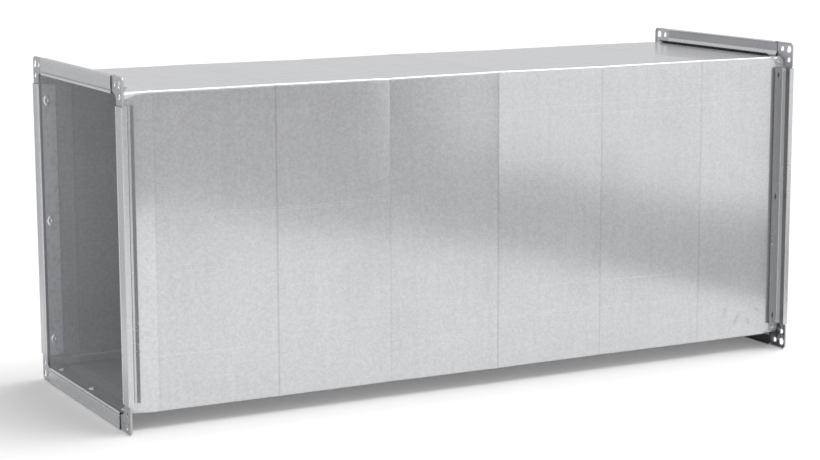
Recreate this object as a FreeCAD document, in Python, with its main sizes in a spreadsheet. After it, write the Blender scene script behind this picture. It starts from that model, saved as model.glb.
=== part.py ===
import FreeCAD, Part
import math
import os
import Sketcher

# A length of rectangular ventilation duct. One galvanised sheet is folded to a box and closed by a
# lock seam, and a slip-on flange frame grips each end: four roll-formed rails and four corner pieces.
# Millimetres. X runs along the duct, Y across it and Z up, with Z = 0 under the two flange frames.

SIZES = [
    ("duct_length", 1000.0, "length between the two flange faces"),
    ("duct_width", 300.0, "width over the sheet"),
    ("duct_height", 400.0, "height over the sheet"),
    ("sheet", 0.8, "thickness of the duct sheet"),
    ("fold_radius", 3.5, "outer radius of the four long folds"),
    ("end_radius", 10.0, "outer radius of the folds where the corner pieces seat"),
    ("end_blend", 35.0, "distance from the flange face over which the end radius dies out"),
    ("first_crease", 48.0, "distance from the left flange face to the first stiffening crease"),
    ("crease_pitch", 162.0, "spacing of the stiffening creases"),
    ("crease_rise", 1.0, "height of every second crease over the flat sheet"),
    ("seam_height", 11.0, "height of the lock seam on the inside of the back wall"),
    ("seam_fold", 1.6, "how far the folded lock seam stands into the duct"),
    ("strip", 0.8, "thickness of the rolled rail strip"),
    ("flange_height", 20.0, "height of the flange over the sheet"),
    ("rail_setback", 36.0, "distance from the flange's outer corner to the end of a rail"),
    ("inner_leg", 24.8, "length of the rail's leg inside the duct"),
    ("nose_run", 5.5, "length of the sloped nose at the start of the inner leg"),
    ("nose_rise", 1.0, "how far the nose stands into the duct over the inner leg"),
    ("lip_depth", 7.2, "depth of the hemmed lip on the rail's outer edge"),
    ("chamber_height", 6.8, "height over the sheet at which the back wall slopes outwards"),
    ("chamber_depth", 5.2, "depth of the rail's hollow at the sheet"),
    ("grip_length", 8.9, "length over which the outer leg presses on the sheet"),
    ("leg_step", 0.5, "rise of the outer leg past its grip"),
    ("step_run", 0.8, "length of the ramp up to that rise"),
    ("leg_flat", 2.6, "length of the raised flat of the outer leg"),
    ("flare_run", 4.0, "length of the flared lead-in at the outer leg's free end"),
    ("flare_rise", 3.0, "rise of the flared lead-in"),
    ("groove_place", 1.6, "height of the face groove over the sheet's outer side"),
    ("groove_width", 1.2, "width of the face groove"),
    ("groove_depth", 0.4, "depth of the face groove"),
    ("bend_radius", 1.4, "outer radius of the rail's two face bends"),
    ("hem_radius", 0.7, "outer radius of the lip's hem"),
    ("clinch_place", 12.2, "distance of the clinches from the flange face"),
    ("clinch_length", 11.0, "length of a clinch pocket along the rail"),
    ("clinch_width", 4.4, "width of a clinch pocket"),
    ("clinch_depth", 0.5, "depth of a clinch pocket in the outer leg"),
    ("button_length", 14.0, "length of a clinch button along the rail"),
    ("button_width", 8.4, "width of a clinch button"),
    ("button_rise", 0.9, "height of a clinch button on the inner leg"),
    ("clinch_end_left", 22.0, "distance of the last clinch from the end of a left upright rail"),
    ("clinch_end_right", 11.0, "distance of the last clinch from the end of a right upright rail"),
    ("clinch_end_wide", 14.0, "distance of the last clinch from the end of a level rail"),
    ("plate", 1.2, "thickness of a corner piece"),
    ("corner_recess", 1.5, "distance of a corner piece behind the rails' faces"),
    ("sheet_gap", 0.3, "gap between a corner piece and the end of the sheet"),
    ("corner_gap", 2.0, "gap between a corner piece's shoulder and the end of a rail"),
    ("corner_radius", 6.0, "radius of a corner piece's outer corner"),
    ("rim_depth", 2.5, "depth of a corner piece over its turned rim"),
    ("lap_length", 4.0, "how far the whole arm of a corner piece reaches into a rail"),
    ("lap_clearance", 0.3, "gap between that arm and the hem inside the rail"),
    ("back_clearance", 0.1, "gap between that arm and the rail's back wall"),
    ("tongue_length", 26.0, "how far a corner piece's tongue reaches into a rail"),
    ("tongue_clearance", 0.3, "gap between a tongue and the sheet"),
    ("bolt_hole", 10.0, "diameter of a corner piece's bolt hole"),
    ("hole_inset", 9.5, "distance of the bolt hole from both outer edges"),
    ("side_hole", 7.0, "diameter of a corner piece's two side holes"),
    ("side_hole_spacing", 15.0, "distance of a side hole from the bolt hole"),
]

# Shares of a size, not sizes of their own.
TONGUE_SHARE = 0.52
FOOT_SHARE = 0.6
APEX_SHARE = 0.3
LOZENGE_SHARE = 0.4

# Draft of a clinch button's sides, in degrees.
BUTTON_TAPER = -55.0

ENDS = {"left": -1, "right": 1}


class Amount:
    """A sum of sheet sizes, known both as a number and as an expression bound to the sheet."""

    def __init__(self, sheet, terms):
        self.sheet = sheet
        self.terms = terms

    def __add__(self, other):
        terms = dict(self.terms)
        for alias, factor in other.terms.items():
            terms[alias] = terms.get(alias, 0.0) + factor
        return Amount(self.sheet, terms)

    def __mul__(self, factor):
        return Amount(self.sheet, {alias: share * factor for alias, share in self.terms.items()})

    def __neg__(self):
        return self * -1.0

    def __sub__(self, other):
        return self + -other

    @property
    def value(self):
        return sum(factor * float(self.sheet.get(alias)) for alias, factor in self.terms.items())

    @property
    def text(self):
        parts = ["(%r) * Sizes.%s" % (factor, alias) for alias, factor in self.terms.items()]
        return " + ".join(parts) if parts else "0"


def add_sizes(doc):
    """Puts the driving sizes in a sheet and returns them by name."""
    sheet = doc.addObject("Spreadsheet::Sheet", "Sizes")
    for row, (alias, value, meaning) in enumerate(SIZES, start=1):
        sheet.set("A%d" % row, meaning)
        sheet.set("B%d" % row, str(value))
        sheet.setAlias("B%d" % row, alias)
    doc.recompute()
    amounts = {alias: Amount(sheet, {alias: 1.0}) for alias, value, meaning in SIZES}
    amounts["zero"] = Amount(sheet, {})
    return amounts


def new_sketch(body, name, role, offset):
    """Starts a sketch on one of the body's own planes, moved along the plane's normal."""
    sketch = body.newObject("Sketcher::SketchObject", name)
    support = next(item for item in body.Origin.OriginFeatures if item.Role == role)
    sketch.AttachmentSupport = [(support, "")]
    sketch.MapMode = "FlatFace"
    sketch.setExpression("AttachmentOffset.Base.z", offset.text)
    return sketch


def bind(sketch, kind, references, amount):
    """Adds a dimension to the sketch and ties it to the sheet."""
    index = sketch.addConstraint(Sketcher.Constraint(kind, *references, amount.value))
    sketch.setExpression("Constraints[%d]" % index, amount.text)


def pin(sketch, geometry, point, across, up):
    """Fixes one point of the sketch's geometry at a place measured from the origin."""
    for kind, axis, amount in (("DistanceX", -2, across), ("DistanceY", -1, up)):
        if abs(amount.value) < 1e-9:
            sketch.addConstraint(Sketcher.Constraint("PointOnObject", geometry, point, axis))
        elif amount.value > 0:
            bind(sketch, kind, (-1, 1, geometry, point), amount)
        else:
            bind(sketch, kind, (geometry, point, -1, 1), -amount)


def draw_outline(sketch, corners):
    """Draws a closed outline with straight sides and pins every corner."""
    places = [FreeCAD.Vector(across.value, up.value, 0) for across, up in corners]
    count = len(corners)
    first = sketch.GeometryCount
    for index in range(count):
        sketch.addGeometry(Part.LineSegment(places[index], places[(index + 1) % count]))
    for index in range(count):
        after = (index + 1) % count
        sketch.addConstraint(Sketcher.Constraint("Coincident", first + index, 2, first + after, 1))
    for index, (across, up) in enumerate(corners):
        pin(sketch, first + index, 1, across, up)


def draw_circle(sketch, across, up, diameter):
    centre = FreeCAD.Vector(across.value, up.value, 0)
    circle = Part.Circle(centre, FreeCAD.Vector(0, 0, 1), diameter.value / 2)
    index = sketch.addGeometry(circle)
    bind(sketch, "Diameter", (index,), diameter)
    pin(sketch, index, 3, across, up)


def quarter_arc(centre, radius, turn):
    """A quarter circle that starts at the given number of quarter turns from the X direction."""
    circle = Part.Circle(FreeCAD.Vector(*centre, 0), FreeCAD.Vector(0, 0, 1), radius)
    return Part.ArcOfCircle(circle, turn * math.pi / 2, (turn + 1) * math.pi / 2)


def draw_rounded_box(sketch, width, height, radius):
    """Draws a rectangle with round corners about the origin, with its width, height and radius tied."""
    w, h, r = width.value / 2, height.value / 2, radius.value
    ends = [((-w + r, -h), (w - r, -h)), ((w, -h + r), (w, h - r)),
            ((w - r, h), (-w + r, h)), ((-w, h - r), (-w, -h + r))]
    for start, end in ends:
        sketch.addGeometry(Part.LineSegment(FreeCAD.Vector(*start, 0), FreeCAD.Vector(*end, 0)))
    centres = [(w - r, -h + r), (w - r, h - r), (-w + r, h - r), (-w + r, -h + r)]
    for turn, centre in enumerate(centres):
        sketch.addGeometry(quarter_arc(centre, r, turn - 1))
    for side in range(4):
        sketch.addConstraint(Sketcher.Constraint("Tangent", side, 2, 4 + side, 1))
        sketch.addConstraint(Sketcher.Constraint("Tangent", 4 + side, 2, (side + 1) % 4, 1))
        sketch.addConstraint(Sketcher.Constraint("Vertical" if side % 2 else "Horizontal", side))
    for corner in (5, 6, 7):
        sketch.addConstraint(Sketcher.Constraint("Equal", 4, corner))
    sketch.addConstraint(Sketcher.Constraint("Symmetric", 0, 1, 2, 1, -1, 1))
    bind(sketch, "Radius", (4,), radius)
    bind(sketch, "DistanceX", (3, 1, 1, 1), width)
    bind(sketch, "DistanceY", (0, 1, 2, 1), height)


def draw_lozenge(sketch, across, up, length, width):
    """Draws an upright lozenge about a pinned middle: a point at each end and a short flat on each side."""
    tip, side, flat = length * 0.5, width * 0.5, length * (LOZENGE_SHARE * 0.5)
    right, left = across + side, across - side
    draw_outline(sketch, [(across, up - tip), (right, up - flat), (right, up + flat), (across, up + tip),
                          (left, up + flat), (left, up - flat)])


def add_loft(body, name, kind, sketches):
    loft = body.newObject("PartDesign::" + kind, name)
    loft.Profile = sketches[0]
    loft.Sections = sketches[1:]
    loft.Ruled = True
    return loft


def add_pad(body, name, sketch, length):
    pad = body.newObject("PartDesign::Pad", name)
    pad.Profile = sketch
    pad.setExpression("Length", length.text)
    return pad


def add_pocket(body, name, sketch, depth=None):
    """Cuts a sketch into the body, right through where no depth is given."""
    pocket = body.newObject("PartDesign::Pocket", name)
    pocket.Profile = sketch
    if depth is None:
        pocket.Type = "ThroughAll"
    else:
        pocket.setExpression("Length", depth.text)
    return pocket


def round_edges(body, name, base, places, radius):
    """Rounds the upright edges of a body that stand at the given places of its XY plane."""
    body.Document.recompute()
    names = []
    for index, edge in enumerate(base.Shape.Edges, start=1):
        ends = [vertex.Point for vertex in edge.Vertexes]
        upright = len(ends) == 2 and abs(ends[0].z - ends[1].z) > 1e-6
        for across, up in places:
            gaps = [math.hypot(end.x - across.value, end.y - up.value) for end in ends]
            if upright and max(gaps) < 1e-6:
                names.append("Edge%d" % index)
    fillet = body.newObject("PartDesign::Fillet", name)
    fillet.Base = (base, names)
    fillet.setExpression("Radius", radius.text)
    return fillet


def place(body, base, x_axis, y_axis, z_axis):
    """Turns a body to the given axes and ties the place of its origin to the sheet."""
    axes = [FreeCAD.Vector(*axis) for axis in (x_axis, y_axis, z_axis)]
    turn = FreeCAD.Rotation(*axes, "ZXY")
    body.Placement = FreeCAD.Placement(FreeCAD.Vector(0, 0, 0), turn)
    for axis, amount in zip("xyz", base):
        body.setExpression("Placement.Base." + axis, amount.text)


def sheet_stations(size):
    """The places along the sheet where its section changes, each with its rise and its fold radius."""
    half = size["duct_length"] * 0.5
    start = size["corner_recess"] + size["plate"] + size["sheet_gap"]
    flat = size["zero"]
    stations = [(start - half, flat, size["end_radius"])]
    stations.append((size["end_blend"] - half, flat, size["fold_radius"]))
    room = (size["duct_length"] - size["end_blend"] - size["first_crease"]).value
    for number in range(math.ceil(room / size["crease_pitch"].value)):
        rise = size["crease_rise"] if number % 2 else flat
        place_along = size["first_crease"] + size["crease_pitch"] * number - half
        stations.append((place_along, rise, size["fold_radius"]))
    stations.append((half - size["end_blend"], flat, size["fold_radius"]))
    stations.append((half - start, flat, size["end_radius"]))
    return stations


def make_shell(doc, size):
    """The folded sheet: a ruled tube through its stations, with the lock seam inside the back wall."""
    body = doc.addObject("PartDesign::Body", "duct_shell")
    sheet = size["sheet"]
    stations = sheet_stations(size)
    outer, inner, seam = [], [], []
    for number, (along, rise, radius) in enumerate(stations):
        width = size["duct_width"] + rise * 2
        height = size["duct_height"] + rise * 2
        section = new_sketch(body, "outer_%d" % number, "YZ_Plane", along)
        draw_rounded_box(section, width, height, radius)
        outer.append(section)
        section = new_sketch(body, "inner_%d" % number, "YZ_Plane", along)
        draw_rounded_box(section, width - sheet * 2, height - sheet * 2, radius - sheet)
        inner.append(section)
        back, floor = width * 0.5 - sheet, sheet - height * 0.5
        near, far = back - size["seam_fold"], back + sheet * 0.5
        low, high = floor - sheet * 0.5, floor + size["seam_height"]
        section = new_sketch(body, "seam_%d" % number, "YZ_Plane", along)
        draw_outline(section, [(near, low), (far, low), (far, high), (near, high)])
        seam.append(section)
    add_loft(body, "folded_sheet", "AdditiveLoft", outer)
    add_loft(body, "air_way", "SubtractiveLoft", inner)
    add_loft(body, "lock_seam", "AdditiveLoft", seam)
    middle = size["duct_height"] * 0.5 + size["flange_height"]
    place(body, (size["zero"], size["zero"], middle), (1, 0, 0), (0, 1, 0), (0, 0, 1))
    return body


def rail_outline(size):
    """The rail's section: X from the flange face inwards, Y outwards from the inside of the inner leg."""
    zero, strip = size["zero"], size["strip"]
    base = size["sheet"] + strip
    top = base + size["flange_height"]
    groove = base + size["groove_place"]
    half_groove = size["groove_width"] * 0.5
    grip_end = size["chamber_depth"] + size["grip_length"]
    ramp_end = grip_end + size["step_run"]
    flat_end = ramp_end + size["leg_flat"]
    flare_end = flat_end + size["flare_run"]
    raised = base + size["leg_step"]
    flared = raised + size["flare_rise"]
    back = size["corner_recess"] + size["plate"] + size["back_clearance"] + strip
    hem = top - strip * 2
    return [
        (size["inner_leg"], zero), (size["nose_run"], zero), (zero, -size["nose_rise"]),
        (zero, groove - half_groove), (size["groove_depth"], groove), (zero, groove + half_groove),
        (zero, top), (size["lip_depth"], top), (size["lip_depth"], hem),
        (back, hem), (back, base + size["chamber_height"]),
        (size["chamber_depth"] + strip * FOOT_SHARE, base + strip), (grip_end, base + strip),
        (ramp_end, raised + strip), (flat_end, raised + strip), (flare_end, flared + strip),
        (flare_end, flared), (flat_end, raised), (ramp_end, raised), (grip_end, base),
        (size["chamber_depth"], base), (back - strip, base + size["chamber_height"] - strip * APEX_SHARE),
        (back - strip, hem - strip), (strip, hem - strip), (strip, strip - size["nose_rise"]),
        (size["nose_run"], strip), (size["inner_leg"], strip),
    ]


def make_rail(doc, size, name, length, clinch_end):
    """One rail about the middle of its length, with its bends, clinch pockets and clinch buttons."""
    body = doc.addObject("PartDesign::Body", name)
    zero, strip = size["zero"], size["strip"]
    base = size["sheet"] + strip
    top = base + size["flange_height"]
    lip, nose = size["lip_depth"], -size["nose_rise"]
    section = new_sketch(body, name + "_section", "XY_Plane", length * -0.5)
    draw_outline(section, rail_outline(size))
    strip_run = add_pad(body, name + "_strip", section, length)
    bends = round_edges(body, name + "_bends", strip_run, [(zero, nose), (zero, top)], size["bend_radius"])
    round_edges(body, name + "_hem", bends, [(lip, top), (lip, top - strip * 2)], size["hem_radius"])

    across = size["clinch_place"]
    reach = length * 0.5 - clinch_end
    pockets = new_sketch(body, name + "_pockets", "XZ_Plane", -(base + strip))
    buttons = new_sketch(body, name + "_buttons", "XZ_Plane", zero)
    for along in (-reach, zero, reach):
        draw_lozenge(pockets, across, along, size["clinch_length"], size["clinch_width"])
        draw_lozenge(buttons, across, along, size["button_length"], size["button_width"])
    clinch = add_pocket(body, name + "_clinch", pockets, size["clinch_depth"])
    clinch.Reversed = True
    button = add_pad(body, name + "_button", buttons, size["button_rise"])
    button.TaperAngle = BUTTON_TAPER
    return body


def corner_outline(size):
    """The corner piece's outline: an L of two arms that lap into the rails, each ending in a tongue."""
    zero, flange = size["zero"], size["flange_height"]
    shoulder = size["rail_setback"] - size["corner_gap"]
    lap = size["rail_setback"] + size["lap_length"]
    lap_edge = size["strip"] * 3 + size["lap_clearance"]
    tip = size["rail_setback"] + size["tongue_length"]
    inside = flange + size["sheet"]
    tongue_far = flange - size["chamber_height"] * TONGUE_SHARE
    tongue_near = flange - size["tongue_clearance"]
    arm = [(shoulder, zero), (shoulder, lap_edge), (lap, lap_edge), (lap, tongue_far), (tip, tongue_far),
           (tip, tongue_near), (shoulder, tongue_near), (shoulder, inside)]
    other_arm = [(up, across) for across, up in reversed(arm)]
    return [(zero, zero)] + arm + [(inside, inside)] + other_arm


def make_corner(doc, size, name):
    """One corner piece with its outer corner at the origin: plate, turned rim, round corners and holes."""
    body = doc.addObject("PartDesign::Body", name)
    zero, rim = size["zero"], size["plate"]
    shoulder = size["rail_setback"] - size["corner_gap"]
    inside = size["flange_height"] + size["sheet"]
    recess = size["corner_recess"]
    outline = new_sketch(body, name + "_outline", "XY_Plane", recess)
    draw_outline(outline, corner_outline(size))
    add_pad(body, name + "_plate", outline, size["plate"])
    band = new_sketch(body, name + "_band", "XY_Plane", recess + size["plate"])
    draw_outline(band, [(zero, zero), (shoulder, zero), (shoulder, rim), (rim, rim), (rim, shoulder),
                        (zero, shoulder)])
    turned = add_pad(body, name + "_rim", band, size["rim_depth"] - size["plate"])
    outer = round_edges(body, name + "_outer", turned, [(zero, zero)], size["corner_radius"])
    within = round_edges(body, name + "_within", outer, [(rim, rim)], size["corner_radius"] - rim)
    seat_radius = size["end_radius"] - size["sheet"]
    round_edges(body, name + "_seat", within, [(inside, inside)], seat_radius)

    inset = size["hole_inset"]
    beside = inset + size["side_hole_spacing"]
    holes = new_sketch(body, name + "_holes", "XY_Plane", recess + size["rim_depth"])
    draw_circle(holes, inset, inset, size["bolt_hole"])
    draw_circle(holes, beside, inset, size["side_hole"])
    draw_circle(holes, inset, beside, size["side_hole"])
    add_pocket(body, name + "_bores", holes)
    return body


def make_flange(doc, size, end, sign):
    """The rails and corner pieces of one end. sign is -1 at the left end and 1 at the right end."""
    face = size["duct_length"] * (sign * 0.5)
    inwards = (-sign, 0, 0)
    middle = size["duct_height"] * 0.5 + size["flange_height"]
    seat = size["sheet"] + size["strip"]
    wide = size["duct_width"] + (size["flange_height"] - size["rail_setback"]) * 2
    tall = size["duct_height"] + (size["flange_height"] - size["rail_setback"]) * 2
    bodies = []
    for side, way in (("bottom", -1), ("top", 1)):
        rail = make_rail(doc, size, "%s_%s_rail" % (end, side), wide, size["clinch_end_wide"])
        level = middle + (size["duct_height"] * 0.5 - seat) * way
        place(rail, (face, size["zero"], level), inwards, (0, 0, way), (0, sign * way, 0))
        bodies.append(rail)
    for side, way in (("front", -1), ("back", 1)):
        rail = make_rail(doc, size, "%s_%s_rail" % (end, side), tall, size["clinch_end_" + end])
        offset = (size["duct_width"] * 0.5 - seat) * way
        place(rail, (face, offset, middle), inwards, (0, way, 0), (0, 0, -sign * way))
        bodies.append(rail)
    half_width = size["duct_width"] * 0.5 + size["flange_height"]
    half_height = size["duct_height"] * 0.5 + size["flange_height"]
    for level, up in (("bottom", -1), ("top", 1)):
        for side, way in (("front", -1), ("back", 1)):
            corner = make_corner(doc, size, "%s_%s_%s_corner" % (end, level, side))
            arms = [(0, -way, 0), (0, 0, -up)]
            if way * up * sign > 0:
                arms.reverse()
            place(corner, (face, half_width * way, middle + half_height * up), *arms, inwards)
            bodies.append(corner)
    return bodies


def main():
    doc = FreeCAD.newDocument("duct_section")
    size = add_sizes(doc)
    bodies = [make_shell(doc, size)]
    for end, sign in ENDS.items():
        bodies += make_flange(doc, size, end, sign)
    doc.recompute()
    for item in doc.Objects:
        if "Invalid" in item.State or "Error" in item.State:
            raise RuntimeError("%s did not build: %s" % (item.Label, item.State))
    os.makedirs("parts", exist_ok=True)
    for body in bodies:
        if body.Shape.isNull() or not body.Shape.isValid() or len(body.Shape.Solids) != 1:
            raise RuntimeError("%s is not one sound solid" % body.Label)
        body.Shape.exportStep("parts/%s.step" % body.Label)


main()
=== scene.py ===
"""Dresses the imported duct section: the folded sheet, the rolled flange rails and the stamped corner pieces.

Sizes are in millimetres and become metres when a mesh is made. The frame is the part's own: X runs
along the duct from the left flange to the right one, Y from the front wall to the back wall, Z is up.
"""

import logging
import math
from dataclasses import dataclass, field
from enum import Enum
from typing import Any, Optional, Sequence

import bmesh
import bpy
import numpy as np
from mathutils import Matrix, Vector
from mathutils.geometry import delaunay_2d_cdt


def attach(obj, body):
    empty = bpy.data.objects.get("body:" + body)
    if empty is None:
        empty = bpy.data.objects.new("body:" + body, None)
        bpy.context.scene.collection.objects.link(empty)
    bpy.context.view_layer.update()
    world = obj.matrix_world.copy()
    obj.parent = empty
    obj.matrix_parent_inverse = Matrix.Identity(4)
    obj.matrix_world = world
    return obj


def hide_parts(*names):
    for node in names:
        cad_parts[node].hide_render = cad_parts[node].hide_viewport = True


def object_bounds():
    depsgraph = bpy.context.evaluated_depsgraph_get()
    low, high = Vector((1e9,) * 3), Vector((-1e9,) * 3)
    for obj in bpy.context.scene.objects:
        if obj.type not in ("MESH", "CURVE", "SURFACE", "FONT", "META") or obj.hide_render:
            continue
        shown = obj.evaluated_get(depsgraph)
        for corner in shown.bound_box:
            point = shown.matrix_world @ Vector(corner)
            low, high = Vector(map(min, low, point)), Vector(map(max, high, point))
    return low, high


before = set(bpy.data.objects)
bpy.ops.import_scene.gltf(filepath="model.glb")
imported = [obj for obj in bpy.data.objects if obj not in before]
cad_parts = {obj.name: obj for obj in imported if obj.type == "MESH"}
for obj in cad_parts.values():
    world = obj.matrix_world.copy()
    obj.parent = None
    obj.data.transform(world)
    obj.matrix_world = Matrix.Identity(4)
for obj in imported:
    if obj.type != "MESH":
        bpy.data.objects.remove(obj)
CAD_BOX = [list(corner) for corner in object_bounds()]

log = logging.getLogger("duct_section")

MM = 0.001
BODY = "root"

# The driving sizes in millimetres: the solids' box, and the flange profile's height all round the duct.
DUCT_LENGTH, FLANGE_WIDTH, FLANGE_HEIGHT = (round((high - low) / MM, 3) for low, high in zip(*CAD_BOX))
PROFILE = 20.0
DUCT_WIDTH = FLANGE_WIDTH - 2 * PROFILE
DUCT_HEIGHT = FLANGE_HEIGHT - 2 * PROFILE
AXIS_HEIGHT = FLANGE_HEIGHT / 2


class End(Enum):
    """The two ends of the duct, each with the sign of its X."""

    LEFT = -1
    RIGHT = 1


class Wall(Enum):
    """The four walls of the duct, each with the axis that it faces and the sign on that axis."""

    BOTTOM = (2, -1)
    TOP = (2, 1)
    FRONT = (1, -1)
    BACK = (1, 1)


def smooth_step(value: np.ndarray, low: float, high: float) -> np.ndarray:
    """Rises from 0 at low to 1 at high along a cubic with level ends.

    Args:
        value: the numbers to look up.
        low: where the rise starts.
        high: where the rise ends.

    Returns:
        The share of the rise at each number.
    """
    share = np.clip((value - low) / (high - low), 0.0, 1.0)
    return share * share * (3.0 - 2.0 * share)


def round_corners(corners: np.ndarray, radii: np.ndarray, steps: int) -> np.ndarray:
    """Rounds a closed outline with straight sides.

    Each corner becomes a parabola that touches both of its sides. It starts and ends at the radius
    times the tangent of half the turn from the corner, and at most 0.46 of the shorter side away.

    Args:
        corners: the outline's corners, one row each.
        radii: the radius of each corner.
        steps: the number of points on each corner's curve.

    Returns:
        The points of the rounded outline, in the same order.
    """
    back = np.roll(corners, 1, axis=0) - corners
    ahead = np.roll(corners, -1, axis=0) - corners
    back_run = np.linalg.norm(back, axis=1)
    ahead_run = np.linalg.norm(ahead, axis=1)
    back /= back_run[:, None]
    ahead /= ahead_run[:, None]
    turn = np.arccos(np.clip(-(back * ahead).sum(axis=1), -1.0, 1.0))
    reach = np.minimum(radii * np.tan(turn / 2), 0.46 * np.minimum(back_run, ahead_run))[:, None]
    start = (corners + back * reach)[:, None]
    end = (corners + ahead * reach)[:, None]
    along = np.linspace(0.0, 1.0, steps)[None, :, None]
    middle = corners[:, None]
    curve = start * (1 - along) ** 2 + middle * 2 * along * (1 - along) + end * along**2
    return curve.reshape(-1, 2)


def divide_runs(outline: np.ndarray, step: float) -> tuple[np.ndarray, np.ndarray]:
    """Adds points to the long runs of a closed outline.

    The outline is read at its own points and at even marks of its length, leaving out the marks that
    fall close to a point of its own.

    Args:
        outline: the outline's points, one row each.
        step: the spacing of the marks.

    Returns:
        The points with the added ones, and each one's distance along the outline.
    """
    closed = np.vstack([outline, outline[:1]])
    length = np.concatenate([[0.0], np.cumsum(np.linalg.norm(np.diff(closed, axis=0), axis=1))])
    marks = np.arange(0.0, length[-1], step)
    gap = np.abs(marks[:, None] - length[None, :]).min(axis=1)
    places = np.sort(np.concatenate([length[:-1], marks[gap > 0.4 * step]]))
    points = np.stack([np.interp(places, length, closed[:, axis]) for axis in (0, 1)], axis=1)
    return points, places


def ripple(across: np.ndarray, up: np.ndarray, seed: int) -> np.ndarray:
    """A soft uneven surface between about -1 and 1.

    It is the mean of six sine waves whose directions, lengths (180 to 620 mm) and phases are drawn
    from the seed.

    Args:
        across: first coordinate in millimetres.
        up: second coordinate in millimetres.
        seed: picks the waves.

    Returns:
        The height at each place.
    """
    draw = np.random.default_rng(seed)
    angle = draw.uniform(0.0, math.tau, 6)
    length = draw.uniform(180.0, 620.0, 6)
    phase = draw.uniform(0.0, math.tau, 6)
    along = across[..., None] * np.cos(angle) + up[..., None] * np.sin(angle)
    return np.sin(along * math.tau / length + phase).mean(axis=-1) * 1.6


@dataclass
class Net:
    """The vertices and faces of one piece, gathered from grids before they become a mesh."""

    points: list[np.ndarray] = field(default_factory=list)
    flows: list[np.ndarray] = field(default_factory=list)
    wears_and_highlights: list[np.ndarray] = field(default_factory=list)
    painted_shades: list[np.ndarray] = field(default_factory=list)
    faces: list[list[int]] = field(default_factory=list)
    count: int = 0

    def add_points(self, points: np.ndarray, flow: np.ndarray, wear: np.ndarray,
                   painted_shade: np.ndarray = np.zeros(1)) -> np.ndarray:
        """Adds vertices.

        Args:
            points: places in millimetres, with X, Y and Z last.
            flow: distance along and across the rolling direction, in millimetres, last.
            wear: how much each vertex is brightened by rubbing and by painted highlights, from 0 for none.
            painted_shade: how much painted shade darkens each vertex, from 0 for none.

        Returns:
            The vertices' numbers, in the shape of the points without their last axis.
        """
        shape = points.shape[:-1]
        number = self.count + np.arange(int(np.prod(shape))).reshape(shape)
        self.count += number.size
        self.points.append(points.reshape(-1, 3))
        self.flows.append(np.broadcast_to(flow, (*shape, 2)).reshape(-1, 2))
        self.wears_and_highlights.append(np.broadcast_to(wear, shape).reshape(-1))
        self.painted_shades.append(np.broadcast_to(painted_shade, shape).reshape(-1))
        return number

    def add_quads(self, number: np.ndarray, around: bool) -> None:
        """Joins a grid of vertices with quads.

        Args:
            number: the grid's vertex numbers, rows by columns.
            around: whether the last column joins the first.
        """
        grid = np.hstack([number, number[:, :1]]) if around else number
        quads = np.stack([grid[:-1, :-1], grid[:-1, 1:], grid[1:, 1:], grid[1:, :-1]], axis=-1)
        self.faces += quads.reshape(-1, 4).tolist()

    def add_grid(self, points: np.ndarray, flow: np.ndarray, wear: np.ndarray, around: bool,
                 painted_shade: np.ndarray = np.zeros(1)) -> np.ndarray:
        """Adds a grid of vertices and joins it with quads.

        Args:
            points: places, rows by columns by 3.
            flow: rolling coordinates, rows by columns by 2.
            wear: rubbing and painted highlights, rows by columns.
            around: whether the last column joins the first.
            painted_shade: painted shade, rows by columns.

        Returns:
            The vertices' numbers, rows by columns.
        """
        number = self.add_points(points, flow, wear, painted_shade)
        self.add_quads(number, around)
        return number

    def make(self, name: str, crisp: float) -> bpy.types.Object:
        """Makes the mesh object, with closed seams and faces that point outwards.

        Args:
            name: the piece's name.
            crisp: the angle in degrees past which an edge is drawn sharp.

        Returns:
            The new object, linked to the scene.
        """
        mesh = bpy.data.meshes.new(name)
        points = np.concatenate(self.points) * MM
        mesh.from_pydata(points, [], self.faces)
        flow = np.zeros((self.count, 3), np.float32)
        flow[:, :2] = np.concatenate(self.flows) * MM
        mesh.attributes.new("flow", "FLOAT_VECTOR", "POINT").data.foreach_set("vector", flow.ravel())
        for label, values in (("wear", self.wears_and_highlights), ("painted_shade", self.painted_shades)):
            share = np.concatenate(values).astype(np.float32)
            mesh.attributes.new(label, "FLOAT", "POINT").data.foreach_set("value", share)
        shape = bmesh.new()
        shape.from_mesh(mesh)
        bmesh.ops.remove_doubles(shape, verts=shape.verts, dist=2e-6)
        bmesh.ops.recalc_face_normals(shape, faces=shape.faces)
        if shape.calc_volume(signed=True) < 0:
            bmesh.ops.reverse_faces(shape, faces=shape.faces)
        open_edges = sum(not edge.is_manifold for edge in shape.edges)
        shape.to_mesh(mesh)
        shape.free()
        mesh.shade_smooth()
        mesh.set_sharp_from_angle(angle=math.radians(crisp))
        piece = link_object(name, mesh)
        mesh.calc_loop_triangles()
        log.info("%s: %d triangles, %d open edges", name, len(mesh.loop_triangles), open_edges)
        return piece


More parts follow.
